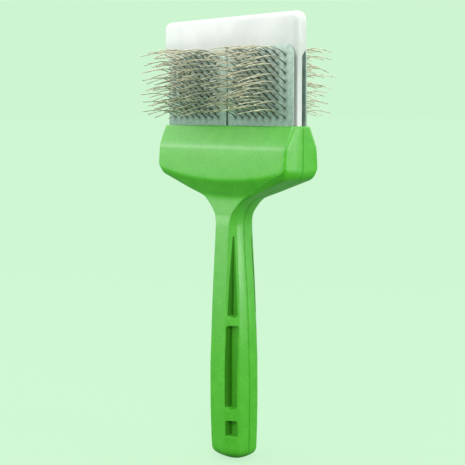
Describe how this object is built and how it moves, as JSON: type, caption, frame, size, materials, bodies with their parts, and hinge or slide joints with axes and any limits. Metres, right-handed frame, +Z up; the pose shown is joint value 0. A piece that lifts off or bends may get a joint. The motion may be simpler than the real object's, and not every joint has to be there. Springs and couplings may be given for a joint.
{
  "type": "slicker brush",
  "caption": "Double-sided pet slicker brush: bent wire pins on cloth pads stand on springy leaves round a flexible translucent blade, in a T-shaped green handle with grip pockets.",
  "frame": {"origin": "middle of the flat end of the handle", "axes": "+Z up the handle to the head, +Y from the front pads to the rear pads, X across the head"},
  "size_m": [0.0979, 0.0496, 0.2104],
  "materials": {
    "green_plastic": "satin, fine grain",
    "translucent_plastic": "frosted, slightly translucent",
    "leaf_plastic": "smooth, springy",
    "pad_cloth": "matt rubberised cloth",
    "pin_wire": "fine bright wire"
  },
  "bodies": {
    "handle": {"front_shell": "green_plastic", "rear_shell": "green_plastic"},
    "core": {"flex_core": "translucent_plastic"},
    "front_left": {"front_left_leaf": "leaf_plastic", "front_left_pad": "pad_cloth", "front_left_pins": "pin_wire"},
    "front_right": {"front_right_leaf": "leaf_plastic", "front_right_pad": "pad_cloth", "front_right_pins": "pin_wire"},
    "rear_left": {"rear_left_leaf": "leaf_plastic", "rear_left_pad": "pad_cloth", "rear_left_pins": "pin_wire"},
    "rear_right": {"rear_right_leaf": "leaf_plastic", "rear_right_pad": "pad_cloth", "rear_right_pins": "pin_wire"}
  },
  "joints": [
    {"name": "head_flex", "type": "hinge", "parent": "handle", "child": "core", "pos_m": [0, 0, 0.1542], "axis": [1, 0, 0], "range_deg": [-4, 4], "stiffness_Nm_per_rad": 3},
    {"name": "front_left_lift", "type": "hinge", "parent": "core", "child": "front_left", "pos_m": [0, -0.00363, 0.1566], "axis": [1, 0, 0], "range_deg": [0, 3], "stiffness_Nm_per_rad": 0.3, "springref_deg": -2.86},
    {"name": "front_right_lift", "type": "hinge", "parent": "core", "child": "front_right", "pos_m": [0, -0.00363, 0.1566], "axis": [1, 0, 0], "range_deg": [0, 3], "stiffness_Nm_per_rad": 0.3, "springref_deg": -2.86},
    {"name": "rear_left_lift", "type": "hinge", "parent": "core", "child": "rear_left", "pos_m": [0, 0.00363, 0.1566], "axis": [-1, 0, 0], "range_deg": [0, 3], "stiffness_Nm_per_rad": 0.3, "springref_deg": -2.86},
    {"name": "rear_right_lift", "type": "hinge", "parent": "core", "child": "rear_right", "pos_m": [0, 0.00363, 0.1566], "axis": [-1, 0, 0], "range_deg": [0, 3], "stiffness_Nm_per_rad": 0.3, "springref_deg": -2.86}
  ]
}
